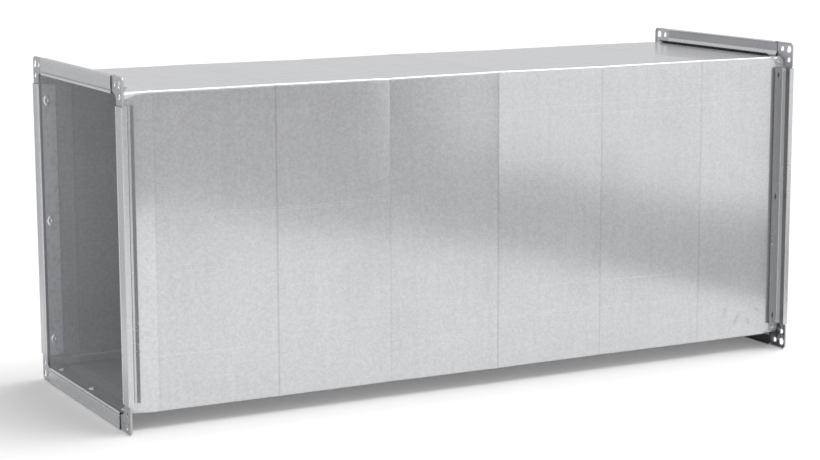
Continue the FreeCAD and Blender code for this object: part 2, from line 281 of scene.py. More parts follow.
class Graph:
    """A node tree that is being drawn, with short ways to add and join its nodes."""

    def __init__(self, tree: bpy.types.NodeTree) -> None:
        """Takes the tree that the nodes go into."""
        self.tree = tree

    def add(self, kind: str, inputs: Optional[dict] = None, **settings: Any) -> bpy.types.Node:
        """Adds a node.

        Args:
            kind: the node's type.
            inputs: values or sockets for its inputs, by name or number.
            settings: the node's own properties.

        Returns:
            The new node.
        """
        node = self.tree.nodes.new(kind)
        for name, value in settings.items():
            setattr(node, name, value)
        for key, value in (inputs or {}).items():
            if isinstance(value, bpy.types.NodeSocket):
                self.tree.links.new(value, node.inputs[key])
            else:
                node.inputs[key].default_value = value
        return node

    def math(self, operation: str, *values: Any) -> bpy.types.NodeSocket:
        """A sum of numbers or sockets by the Math node's operation of that name."""
        return self.add("ShaderNodeMath", dict(enumerate(values)), operation=operation).outputs[0]

    def scaled(self, vector: Any, factor: Any) -> bpy.types.NodeSocket:
        """A vector times a number."""
        node = self.add("ShaderNodeVectorMath", {0: vector, "Scale": factor}, operation="SCALE")
        return node.outputs[0]

    def plus(self, total: Any, value: Any, factor: Any) -> bpy.types.NodeSocket:
        """A total plus a value times a factor."""
        return self.math("MULTIPLY_ADD", value, factor, total)

    def ramp(self, value: Any, low: float, high: float, new_low: float,
             new_high: float) -> bpy.types.NodeSocket:
        """Carries a value smoothly from one range to another and holds it at the ends."""
        inputs = {"Value": value, "From Min": low, "From Max": high, "To Min": new_low, "To Max": new_high}
        return self.add("ShaderNodeMapRange", inputs, interpolation_type="SMOOTHSTEP").outputs[0]

    def noise(self, vector: Any, scale: Any, detail: float, rough: float = 0.5) -> bpy.types.NodeSocket:
        """Soft noise from 0 to 1 at a scale in repeats a metre."""
        inputs = {"Vector": vector, "Scale": scale, "Detail": detail, "Roughness": rough}
        return self.add("ShaderNodeTexNoise", inputs).outputs[0]

    def blend(self, factor: Any, first: Any, second: Any) -> bpy.types.NodeSocket:
        """A colour between two others."""
        node = self.add("ShaderNodeMix", {0: factor, 6: first, 7: second}, data_type="RGBA")
        return node.outputs[2]


def empty_graph(owner: Any) -> Graph:
    """The cleared node tree of a material or world, as a graph."""
    owner.use_nodes = True
    owner.node_tree.nodes.clear()
    return Graph(owner.node_tree)


def link_object(name: str, data: Any) -> bpy.types.Object:
    """A new object around the data, linked to the scene."""
    made = bpy.data.objects.new(name, data)
    bpy.context.scene.collection.objects.link(made)
    return made


# The finger strokes' middles along the duct and up, turns, half lengths and half widths.
FINGER_STROKES = (
    (0.4032, 0.0605, 1.15, 0.011, 0.004),
    (0.4237, 0.0474, 1.05, 0.014, 0.005),
    (0.4440, 0.0431, 2.05, 0.008, 0.004),
    (0.4587, 0.0590, 2.5, 0.008, 0.003),
)


class SharedEffects:
    """The shader node groups that every finish of the duct uses, each built once."""

    def __init__(self) -> None:
        """Builds the groups."""
        self.spangle = self._spangle()
        self.roll_lines = self._roll_lines()
        self.scratches = self._scratches()
        self.smudges = self._smudges()
        self.brightening = self._brightening()
        self.fingers = self._fingers()

    @staticmethod
    def _start(name: str, inputs: dict[str, str], outputs: Sequence[str]) -> tuple[Graph, Any, Any]:
        """Starts a group.

        Args:
            name: the group's name.
            inputs: each input's name and kind of socket.
            outputs: the names of its number outputs.

        Returns:
            The group's graph, its input node's outputs and its output node's inputs.
        """
        tree = bpy.data.node_groups.new(name, "ShaderNodeTree")
        for label, kind in inputs.items():
            tree.interface.new_socket(label, in_out="INPUT", socket_type=kind)
        for label in outputs:
            tree.interface.new_socket(label, in_out="OUTPUT", socket_type="NodeSocketFloat")
        graph = Graph(tree)
        return graph, graph.add("NodeGroupInput").outputs, graph.add("NodeGroupOutput").inputs

    def _spangle(self) -> bpy.types.NodeTree:
        """Zinc crystals: uneven cells of one tone each, with a fine grain over them, and their relief."""
        graph, given, out = self._start(
            "zinc_spangle", {"Vector": "NodeSocketVector", "Size": "NodeSocketFloat"}, ["Tone", "Height"])
        scale = graph.math("DIVIDE", 1.0, given["Size"])
        place = graph.scaled(given["Vector"], scale)
        warp = graph.add("ShaderNodeTexNoise", {"Vector": place, "Scale": 0.9, "Detail": 3.0}).outputs[1]
        place = graph.add("ShaderNodeVectorMath", {0: place, 1: warp}, operation="ADD").outputs[0]
        cells = graph.add("ShaderNodeTexVoronoi", {"Vector": place, "Scale": 1.0, "Randomness": 1.0})
        tone = graph.add("ShaderNodeSeparateColor", {0: cells.outputs["Color"]}).outputs[0]
        twigs = graph.noise(place, 4.2, 3.0, 0.62)
        dust = graph.noise(place, 13.0, 2.0, 0.6)
        mixed = graph.plus(graph.plus(graph.math("MULTIPLY", tone, 0.42), twigs, 0.34), dust, 0.24)
        graph.tree.links.new(mixed, out["Tone"])
        graph.tree.links.new(graph.plus(twigs, cells.outputs["Distance"], 0.7), out["Height"])
        return graph.tree

    def _roll_lines(self) -> bpy.types.NodeTree:
        """Fine lines left by the rolling mill: noise drawn out along the first flow coordinate."""
        graph, given, out = self._start(
            "rolling_lines", {"Flow": "NodeSocketVector", "Length": "NodeSocketFloat",
                              "Pitch": "NodeSocketFloat"}, ["Tone"])
        parts = graph.add("ShaderNodeSeparateXYZ", {0: given["Flow"]}).outputs
        along = graph.math("DIVIDE", parts[0], given["Length"])
        across = graph.math("DIVIDE", parts[1], given["Pitch"])
        place = graph.add("ShaderNodeCombineXYZ", {0: along, 1: across}).outputs[0]
        broad = graph.noise(place, 0.22, 2.0)
        fine = graph.noise(place, 1.0, 3.0, 0.6)
        graph.tree.links.new(graph.plus(graph.math("MULTIPLY", broad, 0.45), fine, 0.55), out["Tone"])
        return graph.tree

    def _scratches(self) -> bpy.types.NodeTree:
        """Thin straight scratches along X of the vector: one in so many lanes, broken along its length."""
        graph, given, out = self._start(
            "fine_scratches", {"Vector": "NodeSocketVector", "Lane": "NodeSocketFloat",
                               "Share": "NodeSocketFloat", "Length": "NodeSocketFloat"}, ["Mask"])
        parts = graph.add("ShaderNodeSeparateXYZ", {0: given["Vector"]}).outputs
        across = graph.plus(parts[1], graph.noise(given["Vector"], 2.2, 1.0), 0.012)
        lane = graph.math("DIVIDE", across, given["Lane"])
        number = graph.math("FLOOR", lane)
        within = graph.math("SUBTRACT", lane, number)
        chance = graph.add("ShaderNodeTexWhiteNoise", {"W": number}, noise_dimensions="1D").outputs[0]
        chosen = graph.math("LESS_THAN", chance, given["Share"])
        line = graph.ramp(graph.math("ABSOLUTE", graph.math("SUBTRACT", within, 0.5)), 0.06, 0.5, 1.0, 0.0)
        along = graph.math("DIVIDE", parts[0], given["Length"])
        row = graph.math("MULTIPLY", number, 7.31)
        place = graph.add("ShaderNodeCombineXYZ", {0: along, 1: row}).outputs[0]
        piece = graph.ramp(graph.noise(place, 1.0, 1.0), 0.5, 0.62, 0.0, 1.0)
        mask = graph.math("MULTIPLY", graph.math("MULTIPLY", chosen, line), piece)
        graph.tree.links.new(mask, out["Mask"])
        return graph.tree

    def _smudges(self) -> bpy.types.NodeTree:
        """Wipe and finger marks: soft patches cut from two layers of noise."""
        graph, given, out = self._start(
            "wipe_marks", {"Vector": "NodeSocketVector", "Size": "NodeSocketFloat"}, ["Mask"])
        scale = graph.math("DIVIDE", 1.0, given["Size"])
        broad = graph.ramp(graph.noise(given["Vector"], scale, 3.0), 0.45, 0.75, 0.0, 1.0)
        small = graph.noise(given["Vector"], graph.math("MULTIPLY", scale, 5.0), 3.0, 0.6)
        graph.tree.links.new(graph.math("MULTIPLY", broad, small), out["Mask"])
        return graph.tree

    def _fingers(self) -> bpy.types.NodeTree:
        """Greasy finger strokes low on the front wall's right: soft ellipses, broken up by noise."""
        graph, given, out = self._start("finger_marks", {"Vector": "NodeSocketVector"}, ["Mask"])
        parts = graph.add("ShaderNodeSeparateXYZ", {0: given["Vector"]}).outputs
        total: Any = 0.0
        for across, up, turn, half_length, half_width in FINGER_STROKES:
            aside = graph.math("SUBTRACT", parts[0], across)
            above = graph.math("SUBTRACT", parts[2], up)
            cosine, sine = math.cos(turn), math.sin(turn)
            along = graph.plus(graph.math("MULTIPLY", aside, cosine), above, sine)
            beside = graph.plus(graph.math("MULTIPLY", above, cosine), aside, -sine)
            reach = graph.math("ADD", graph.math("POWER", graph.math("DIVIDE", along, half_length), 2.0),
                               graph.math("POWER", graph.math("DIVIDE", beside, half_width), 2.0))
            total = graph.math("ADD", total, graph.ramp(reach, 0.0, 1.0, 1.0, 0.0))
        broken = graph.ramp(graph.noise(given["Vector"], 260.0, 2.0), 0.3, 0.7, 0.5, 1.0)
        front = graph.math("LESS_THAN", parts[1], -0.14)
        mask = graph.math("MULTIPLY", graph.math("MULTIPLY", total, broken), front)
        graph.tree.links.new(mask, out["Mask"])
        return graph.tree

    def _brightening(self) -> bpy.types.NodeTree:
        """Bright rubbed edges and painted highlights: the share that the mesh states, broken up by noise."""
        graph, given, out = self._start(
            "edge_rubbing", {"Wear": "NodeSocketFloat", "Vector": "NodeSocketVector"}, ["Mask"])
        broken = graph.ramp(graph.noise(given["Vector"], 160.0, 3.0, 0.6), 0.25, 0.75, 0.35, 1.0)
        graph.tree.links.new(graph.math("MULTIPLY", given["Wear"], broken), out["Mask"])
        return graph.tree


@dataclass(frozen=True)
class ZincFinish:
    """One galvanised finish: its colour, gloss and the strength of each mark on it."""

    name: str
    slot: str
    zinc: tuple[float, float, float]
    metal: float
    roughness: float
    line_length: float
    line_tone: float
    smudge_size: float
    smudge_tone: float
    # How much rubbing and painted highlights lighten the colour.
    brightening_tone: float
    line_pitch: float = 0.0020
    finger_tone: float = 0.0
    crystal: float = 0.0024
    crystal_tone: float = 0.18
    crystal_relief: float = 0.0000004
    scratch_turn: float = 0.0
    scratch_share: float = 0.01
    scratch_tone: float = 0.02
    scratch_length: float = 0.11
    scratch_lane: float = 0.0011
    scratch_depth: float = 0.0000003
    line_relief: float = 0.5
    crystal_rough: float = 0.10
    smudge_rough: float = 0.08
    scratch_rough: float = 0.08
    brightening_gloss: float = 0.06
    shade: float = 0.5
    # The near-black colour that painted shade darkens towards, and how far it goes at full painted shade.
    painted_dark: tuple[float, float, float, float] = (0.06, 0.06, 0.065, 1.0)
    painted_shade_share: float = 0.65
    specular: float = 0.2
    specular_tint: tuple[float, float, float, float] = (0.72, 0.72, 0.74, 1.0)

    def material(self, effects: SharedEffects) -> bpy.types.Material:
        """Builds the finish's material.

        Args:
            effects: the shared node groups.

        Returns:
            The material.
        """
        made = bpy.data.materials.new(self.name)
        graph = empty_graph(made)
        place = graph.add("ShaderNodeTexCoord").outputs["Object"]
        flow = graph.add("ShaderNodeAttribute", attribute_name="flow").outputs["Vector"]
        wear = graph.add("ShaderNodeAttribute", attribute_name="wear").outputs["Fac"]
        painted_shade = graph.add("ShaderNodeAttribute", attribute_name="painted_shade").outputs["Fac"]
        turn = {"Vector": flow, "Rotation": (0.0, 0.0, self.scratch_turn)}
        turned = graph.add("ShaderNodeMapping", turn).outputs[0]

        def effect(tree: bpy.types.NodeTree, **inputs: Any) -> Any:
            """Places a shared effect and returns its outputs."""
            return graph.add("ShaderNodeGroup", inputs, node_tree=tree).outputs

        spangle = effect(effects.spangle, Vector=place, Size=self.crystal)
        lines = effect(effects.roll_lines, Flow=flow, Length=self.line_length, Pitch=self.line_pitch)["Tone"]
        scratch = effect(effects.scratches, Vector=turned, Lane=self.scratch_lane, Share=self.scratch_share,
                         Length=self.scratch_length)["Mask"]
        smudge = effect(effects.smudges, Vector=place, Size=self.smudge_size)["Mask"]
        # Rubbing and painted highlights: lighter and glossier where the mesh marks them.
        brightening_mask = effect(effects.brightening, Wear=wear, Vector=place)["Mask"]
        finger = effect(effects.fingers, Vector=place)["Mask"]

        tone = graph.math("MULTIPLY", graph.math("SUBTRACT", spangle["Tone"], 0.5), self.crystal_tone)
        for mark, strength in ((graph.math("SUBTRACT", lines, 0.5), self.line_tone),
                               (scratch, self.scratch_tone), (smudge, -self.smudge_tone),
                               (brightening_mask, self.brightening_tone), (finger, -self.finger_tone)):
            tone = graph.plus(tone, mark, strength)
        dark = tuple(channel * (1.0 - self.shade) for channel in self.zinc) + (1.0,)
        light = tuple(channel * (1.0 + self.shade) for channel in self.zinc) + (1.0,)
        colour = graph.blend(graph.math("ADD", tone, 0.5), dark, light)
        # Painted shade: the colour darkens towards near black where the mesh marks painted shade.
        colour = graph.blend(graph.math("MULTIPLY", painted_shade, self.painted_shade_share), colour, self.painted_dark)

        rough = graph.plus(self.roughness - self.crystal_rough / 2, spangle["Tone"], self.crystal_rough)
        for mark, strength in ((smudge, self.smudge_rough), (scratch, self.scratch_rough),
                               (graph.math("MINIMUM", brightening_mask, 1.0), -self.brightening_gloss)):
            rough = graph.plus(rough, mark, strength)
        height = graph.math("MULTIPLY", spangle["Height"], self.crystal_relief)
        height = graph.plus(height, lines, self.crystal_relief * self.line_relief)
        height = graph.plus(height, scratch, -self.scratch_depth)
        bump = graph.add("ShaderNodeBump", {"Height": height, "Strength": 1.0, "Distance": 1.0}).outputs[0]
        shader = graph.add("ShaderNodeBsdfPrincipled", {
            "Base Color": colour, "Metallic": self.metal, "Roughness": rough, "Normal": bump,
            "Specular IOR Level": self.specular, "Specular Tint": self.specular_tint})
        graph.add("ShaderNodeOutputMaterial", {"Surface": shader.outputs[0]})
        return made

    def dress(self, piece: bpy.types.Object, node: str, materials: dict[str, bpy.types.Material]) -> None:
        """Gives a piece this finish, lets it ride on the body and stand for its node.

        Args:
            piece: the piece.
            node: the solid that it stands for.
            materials: the materials by the finishes' names.
        """
        piece.data.materials.append(materials[self.name])
        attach(piece, BODY)
        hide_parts(node)


SHEET_FINISH = ZincFinish(
    name="galvanised_sheet_finish", slot="galvanised_sheet", zinc=(0.655, 0.66, 0.675), metal=0.47,
    roughness=0.15, crystal_tone=0.30, crystal_relief=0.0000016, line_length=0.05, line_pitch=0.0022,
    line_tone=0.16, scratch_turn=math.pi / 2, scratch_share=0.04, scratch_tone=0.13, scratch_length=0.45,
    smudge_size=0.09, smudge_tone=0.05, brightening_tone=0.12, finger_tone=0.18)
RAIL_FINISH = ZincFinish(
    name="galvanised_rail_finish", slot="galvanised_rail", zinc=(0.64, 0.645, 0.66), metal=0.55,
    roughness=0.23, line_length=0.12, line_tone=0.12, smudge_size=0.06, smudge_tone=0.03, brightening_tone=0.12)
CORNER_FINISH = ZincFinish(
    name="galvanised_corner_finish", slot="galvanised_corner", zinc=(0.50, 0.505, 0.52), metal=0.72,
    roughness=0.33, line_length=0.05, line_tone=0.08, smudge_size=0.04, smudge_tone=0.05, brightening_tone=0.10)


@dataclass(frozen=True)
class Crease:
    """One stiffening crease across the sheet.

    It has a place from the left face, a broad rise, a sharper tent close to its line, and a line of painted
    shade along it.
    """

    place: float
    rise: float
    tent: float
    # How dark the painted shade along the crease line is.
    painted_shade: float


@dataclass
class FoldedSheet:
    """The duct's sheet, folded to a box and closed by a lock seam inside the back wall."""

    length: float = DUCT_LENGTH
    width: float = DUCT_WIDTH
    height: float = DUCT_HEIGHT
    middle: float = AXIS_HEIGHT
    sheet: float = 0.8
    setback: float = 3.0
    fold_radius: float = 2.9
    end_radius: float = 10.0
    end_blend: float = 35.0
    seam_height: float = 11.0
    seam_fold: float = 1.6
    sag: float = 0.35
    creases: tuple[Crease, ...] = (
        Crease(48.0, 0.0, 0.34, 0.12), Crease(210.0, 0.3, 0.24, 0.42), Crease(371.0, 0.05, -0.58, 0.2),
        Crease(531.0, 0.4, 0.60, 0.45), Crease(693.0, 0.1, -0.40, 0.28), Crease(856.0, 0.3, 0.24, 0.3))
    tent_reach: float = 22.0
    crease_half: float = 1.3
    fold_wear: float = 0.3
    end_wear: float = 0.2
    strip_wear: float = 0.9
    # Painted highlights along the lock seam's top edge and its foot.
    seam_top_highlight: float = 2.6
    seam_foot_highlight: float = 1.6
    arc_steps: int = 9
    side_steps: int = 26
    crisp: float = 40.0

    def from_end(self, along: np.ndarray) -> np.ndarray:
        """The distance of each place from the nearer flange face."""
        return np.minimum(along, self.length - along)

    def stations(self) -> np.ndarray:
        """The places along the sheet, from the left face, that its grid runs through.

        Returns:
            Places every 14 mm, close together at the creases and towards both ends.
        """
        even = np.linspace(self.setback, self.length - self.setback, 72)
        ends = self.setback + np.array([0.6, 2.0, 4.0, 7.0, 11.0, 15.0, 20.0, 26.0, 32.0])
        one_side = np.array([0.9, 2.2, 4.5, 8.0, 13.0, 20.0, 30.0])
        near = np.concatenate([-one_side[::-1], [0.0], one_side])
        places = np.array([crease.place for crease in self.creases])
        close = (places[:, None] + near).ravel()
        clear = np.abs(even[:, None] - places).min(axis=1) > 34.0
        close = close[(close > ends[-1]) & (close < self.length - ends[-1])]
        return np.unique(np.round(np.concatenate([even[clear], ends, self.length - ends, close]), 3))

    def rise(self, along: np.ndarray) -> np.ndarray:
        """How far the walls stand out at each place.

        Straight between the creases' broad rises, plus a tent at each crease that dies away as an
        exponential of the distance from it.

        Args:
            along: places from the left face.

        Returns:
            The rise at each place.
        """
        middles = [crease.place for crease in self.creases]
        places = [0.0, self.end_blend, *middles, self.length - self.end_blend]
        rises = [0.0, 0.0, *(crease.rise for crease in self.creases), 0.0]
        height = np.interp(along, places, rises)
        inside = smooth_step(self.from_end(along), self.setback, self.end_blend)
        for crease in self.creases:
            height += crease.tent * np.exp(-np.abs(along - crease.place) / self.tent_reach) * inside
        return height

    def crease_shade(self, along: np.ndarray) -> np.ndarray:
        """How much painted shade darkens the sheet at each place: a narrow line at every crease.

        Args:
            along: places from the left face.

        Returns:
            The painted shade at each place.
        """
        line_shade = np.zeros_like(along)
        for crease in self.creases:
            line_shade += crease.painted_shade * np.clip(1.0 - np.abs(along - crease.place) / self.crease_half, 0.0, 1.0)
        return line_shade

    def section(self, along: np.ndarray, inset: float) -> np.ndarray:
        """The sheet's rounded box at each place.

        Four quarter circles joined by four straight sides, counter-clockwise from the bottom of the
        back wall. The radius grows from the fold's to the end's over the last millimetres.

        Args:
            along: places from the left face.
            inset: 0 for the outer skin, the sheet's thickness for the inner one.

        Returns:
            Y and Z about the duct's axis, places by points by 2.
        """
        grown = 1.0 - smooth_step(self.from_end(along), self.setback, self.end_blend)
        radius = (self.fold_radius + (self.end_radius - self.fold_radius) * grown - inset)[:, None]
        rise = self.rise(along)[:, None]
        half = np.stack([self.width / 2 + rise - inset, self.height / 2 + rise - inset], axis=-1)
        angle = np.linspace(0.0, math.pi / 2, self.arc_steps)
        seam = np.array([0.6, 1.2, 2.0, 3.0, 4.5, 6.2, 7.2, 7.7, 8.1, 8.5, 8.9, 9.3, 9.8, 10.5]) / self.height
        even = np.linspace(0.0, 1.0, self.side_steps + 1)[1:-1]
        even = np.concatenate([[0.0012, 0.004], even, [0.996, 0.9988]])
        corners = ((1, -1), (1, 1), (-1, 1), (-1, -1))
        centres = [(half - radius[..., None]) * np.array(signs) for signs in corners]
        parts = []
        for turn, centre in enumerate(centres):
            swing = angle + (turn - 1) * math.pi / 2
            arc = radius[..., None] * np.stack([np.cos(swing), np.sin(swing)], axis=-1)
            start = centre + arc[:, -1:]
            final = centres[(turn + 1) % 4] + arc[:, -1:]
            share = (np.unique(np.concatenate([seam, even])) if turn == 0 else even)[:, None]
            parts += [centre + arc, start + (final - start) * share]
        return np.concatenate(parts, axis=1)

    def sagged(self, along: np.ndarray, ring: np.ndarray) -> np.ndarray:
        """Adds the flat walls' slight unevenness, which dies out at the folds and at the ends.

        Args:
            along: places from the left face.
            ring: the section's Y and Z, places by points by 2.

        Returns:
            The section with every wall moved along its own normal.
        """
        end_share = smooth_step(self.from_end(along), 15.0, 90.0)[:, None]
        moved = ring.copy()
        for axis, half in ((0, self.width / 2), (1, self.height / 2)):
            other_half = self.height / 2 if axis == 0 else self.width / 2
            other = ring[..., 1 - axis]
            inside = np.clip(1.0 - (other / (other_half - 4.0)) ** 2, 0.0, 1.0)
            on_wall = smooth_step(np.abs(ring[..., axis]), half - 4.0, half - 2.5)
            for sign in (-1, 1):
                here = (np.sign(ring[..., axis]) == sign) * on_wall * inside**1.5 * end_share
                wave = ripple(np.broadcast_to(along[:, None], other.shape), other, 11 + axis * 2 + sign)
                moved[..., axis] += sign * self.sag * here * wave
        return moved

    def near_back(self, ring: np.ndarray) -> np.ndarray:
        """A share that rises to 1 over the last millimetres before the back wall."""
        return smooth_step(ring[..., 0], self.width / 2 - 16.0, self.width / 2 - 8.0)

    def seamed(self, ring: np.ndarray, along: np.ndarray) -> np.ndarray:
        """Moves the bottom of the inner back wall into the duct, where the lock seam is folded.

        Args:
            ring: the inner skin's Y and Z.
            along: places from the left face.

        Returns:
            The inner skin with its seam.
        """
        floor = self.sheet - self.height / 2 - self.rise(along)[:, None]
        above = ring[..., 1] - floor
        over = smooth_step(above, self.seam_height - 0.5, self.seam_height + 0.5)
        fold = smooth_step(above, 0.4, 2.0) * (1.0 - over)
        moved = ring.copy()
        moved[..., 0] -= self.seam_fold * fold * self.near_back(ring)
        return moved

    def build(self, materials: dict[str, bpy.types.Material]) -> bpy.types.Object:
        """Builds and dresses the sheet: an outer skin, an inner skin and the two cut edges.

        Args:
            materials: the materials by the finishes' names.

        Returns:
            The piece.
        """
        along = self.stations()
        outer = self.section(along, 0.0)
        inner = self.section(along, self.sheet)
        from_end = self.from_end(along)
        fold = 1.0 - smooth_step(np.abs(np.abs(outer[..., 0]) - self.width / 2), 0.0, 4.0)
        fold = np.where(np.abs(np.abs(outer[..., 1]) - self.height / 2) < 6.0, fold, 0.0)
        at_end = 1.0 - smooth_step(from_end, self.setback, self.setback + 3.0)
        first_strip = smooth_step(self.creases[0].place - along, 0.0, 1.0)
        flat_wear = np.maximum(at_end * self.end_wear, first_strip * self.strip_wear)
        wear = np.maximum(fold * self.fold_wear, flat_wear[:, None])
        # Painted shade: a dark line at each cut end where the sheet sits in the flange, and along the bottom
        # folds of the front and back walls.
        cut_end_shade = 1.0 - smooth_step(from_end, self.setback, self.setback + 1.5)
        foot_shade = 1.0 - smooth_step(outer[..., 1] + self.height / 2, 0.7, 1.9)
        foot_shade *= smooth_step(np.abs(outer[..., 0]), self.width / 2 - 5.0, self.width / 2 - 3.0)
        step = np.linalg.norm(np.diff(outer[len(along) // 2], axis=0), axis=1)
        around = np.concatenate([[0.0], np.cumsum(step)])
        flow = np.stack(np.broadcast_arrays(around[None, :], along[:, None]), axis=-1)
        outer = self.sagged(along, outer)
        inner = self.seamed(self.sagged(along, inner), along)
        net = Net()
        skins = []
        # Painted highlights: two light lines along the lock seam's top edge and its foot, inside the back
        # wall.
        height = inner[..., 1] + self.height / 2 - self.sheet
        lines = np.exp(-((height - self.seam_height) / 0.9) ** 2) * self.seam_top_highlight
        lines += np.exp(-((height - 1.6) / 0.8) ** 2) * self.seam_foot_highlight
        seam_wear_and_highlight = np.maximum(wear, lines * self.near_back(inner))
        # Painted shade at the crease lines and the cut ends, and on the outer skin also along its bottom
        # folds.
        line_shade = np.maximum(self.crease_shade(along), cut_end_shade)[:, None]
        for ring, rubbed_and_highlighted, painted_shade in ((outer, wear, np.maximum(line_shade, foot_shade)), (inner, seam_wear_and_highlight, line_shade)):
            place = np.empty((*ring.shape[:2], 3))
            place[..., 0] = along[:, None] - self.length / 2
            place[..., 1] = ring[..., 0]
            place[..., 2] = ring[..., 1] + self.middle
            skins.append(net.add_grid(place, flow, rubbed_and_highlighted, around=True, painted_shade=painted_shade))
        for row in (0, -1):
            net.add_quads(np.stack([skins[0][row], skins[1][row]]), around=True)
        piece = net.make("folded_sheet", self.crisp)
        SHEET_FINISH.dress(piece, "duct_shell", materials)
        return piece


@dataclass
class RolledRail:
    """One roll-formed rail of a flange frame, with its clinch points."""

    end: End
    wall: Wall
    duct_length: float = DUCT_LENGTH
    half_width: float = DUCT_WIDTH / 2
    half_height: float = DUCT_HEIGHT / 2
    middle: float = AXIS_HEIGHT
    seat: float = 1.6
    setback: float = 16.0
    clinch_place: float = 12.2
    pocket: tuple[float, float, float] = (2.6, 5.8, 0.75)
    button: tuple[float, float, float] = (4.9, 8.2, 0.6)
    level_button_gain: float = 2.4
    clinch_end_left: float = 22.0
    clinch_end_right: float = 11.0
    clinch_end_wide: float = 14.0
    face_wave: float = 0.05
    # Painted shade on the rail: under the lip, darkest on the bottom rails and lightest on the top ones; on
    # the hidden faces, in the clinch pockets and on the flare.
    low_painted_shade: float = 1.45
    side_painted_shade: float = 1.08
    high_painted_shade: float = 0.6
    hidden_painted_shade: float = 1.3
    pocket_painted_shade: float = 1.4
    left_flare_shade: float = 0.1
    right_flare_shade: float = 0.35
    # Painted highlights on the nose bead, on the lip and its bend and on the clinch buttons, strongest on the
    # level rails' buttons; the upright rails' inner legs are lightened.
    bead_highlight: float = 1.6
    bend_highlight: float = 0.1
    inner_leg_lightening: float = 6.0
    upright_button_highlight: float = 0.35
    level_button_highlight: float = 2.6
    clinch_power: float = 1.4
    crisp: float = 32.0

    def outline(self) -> tuple[np.ndarray, np.ndarray]:
        """The rail's section: depth from the flange face, and height from the inside of the inner leg.

        Each corner is given with its depth, its height and its radius.

        Returns:
            The section's rounded outline and each point's distance along it.
        """
        corners = np.array([
            (24.8, 0.0, 0.2), (5.5, 0.0, 2.5), (1.8, -1.0, 0.9), (0.5, -0.8, 0.6), (0.0, 0.2, 0.8),
            (0.0, 1.7, 0.5), (0.5, 2.6, 0.25), (0.8, 3.2, 0.3), (0.5, 3.8, 0.25), (0.0, 4.3, 0.4),
            (0.0, 21.6, 1.4), (7.2, 21.6, 0.75), (7.2, 20.0, 0.75), (3.6, 20.0, 0.7), (3.6, 8.4, 1.4),
            (5.68, 2.4, 1.2), (14.1, 2.4, 0.8), (14.9, 2.9, 0.8), (17.5, 2.9, 1.6), (21.5, 5.9, 0.25),
            (21.5, 5.1, 0.25), (17.5, 2.1, 1.2), (14.9, 2.1, 0.5), (14.1, 1.6, 0.5), (5.2, 1.6, 0.5),
            (2.8, 8.16, 0.8), (2.8, 19.2, 0.5), (0.8, 19.2, 0.5), (0.8, 4.7, 0.5), (1.4, 3.2, 0.5),
            (0.8, 1.7, 0.5), (0.8, 0.3, 0.5), (1.8, -0.2, 0.5), (5.5, 0.8, 1.5), (24.8, 0.8, 0.2)])
        rounded = round_corners(corners[:, :2], corners[:, 2], 5)
        return divide_runs(rounded, 0.9)

    def span(self) -> float:
        """Half of the rail's length."""
        other = self.half_width if self.wall.value[0] == 2 else self.half_height
        return other - self.setback

    def clinches(self) -> np.ndarray:
        """The places of the three clinch points along the rail, from its middle."""
        tall = self.clinch_end_left if self.end is End.LEFT else self.clinch_end_right
        reach = self.span() - (self.clinch_end_wide if self.wall.value[0] == 2 else tall)
        return np.array([-reach, 0.0, reach])

    def stations(self) -> np.ndarray:
        """The places along the rail that its grid runs through: close together at the clinch points."""
        span = self.span()
        clinches = self.clinches()
        even = np.linspace(-span, span, 19)
        clear = np.abs(even[:, None] - clinches).min(axis=1) > 10.0
        close = (clinches[:, None] + np.linspace(-9.0, 9.0, 19)).ravel()
        tips = [-span, 0.4 - span, span - 0.4, span]
        return np.unique(np.round(np.concatenate([even[clear], close, tips]), 3))

    def pressed(self, section: np.ndarray, along: np.ndarray) -> tuple[np.ndarray, np.ndarray, np.ndarray]:
        """The section at every station, with the clinch pockets and buttons pressed into its legs.

        A clinch is a lozenge with rounded sides: its measure joins the depth offset over the half width
        and the offset along the rail over the half length by a power. The pocket in the outer leg
        deepens smoothly from its rim to 0.6 of the measure. The button on the inner leg rises over the
        same stretch, and is dished inside half of the measure.

        Args:
            section: the outline, points by 2.
            along: the stations.

        Returns:
            Depth and height, stations by points by 2, and how far each point is in a pocket or on a
            button.
        """
        grid = np.repeat(section[None], len(along), axis=0)
        marks = np.zeros((2, *grid.shape[:2]))
        depth, height = section[:, 0], section[:, 1]
        outer = (np.abs(height - 2.4) < 0.04) & (depth > 6.6) & (depth < 14.05)
        inner = (np.abs(height) < 0.04) & (depth > 5.6) & (depth < 24.6)
        gain = self.level_button_gain if self.wall.value[0] == 2 else 1.0
        power = self.clinch_power
        for place in self.clinches():
            for (half_width, half_length, amount), zone, dished in (
                    (self.pocket, outer, False), (self.button, inner, True)):
                across = np.abs(depth - self.clinch_place)[None, :] / half_width
                beside = np.abs(along - place)[:, None] / half_length
                measure = (across**power + beside**power) ** (1 / power)
                form = 1.0 - smooth_step(measure, 0.6, 1.0)
                marks[int(dished)] += form * zone[None, :]
                if dished:
                    form = gain * (form - 0.75 * (1.0 - smooth_step(measure, 0.12, 0.5)))
                grid[..., 1] -= amount * form * zone[None, :]
        return grid, marks[0], marks[1]

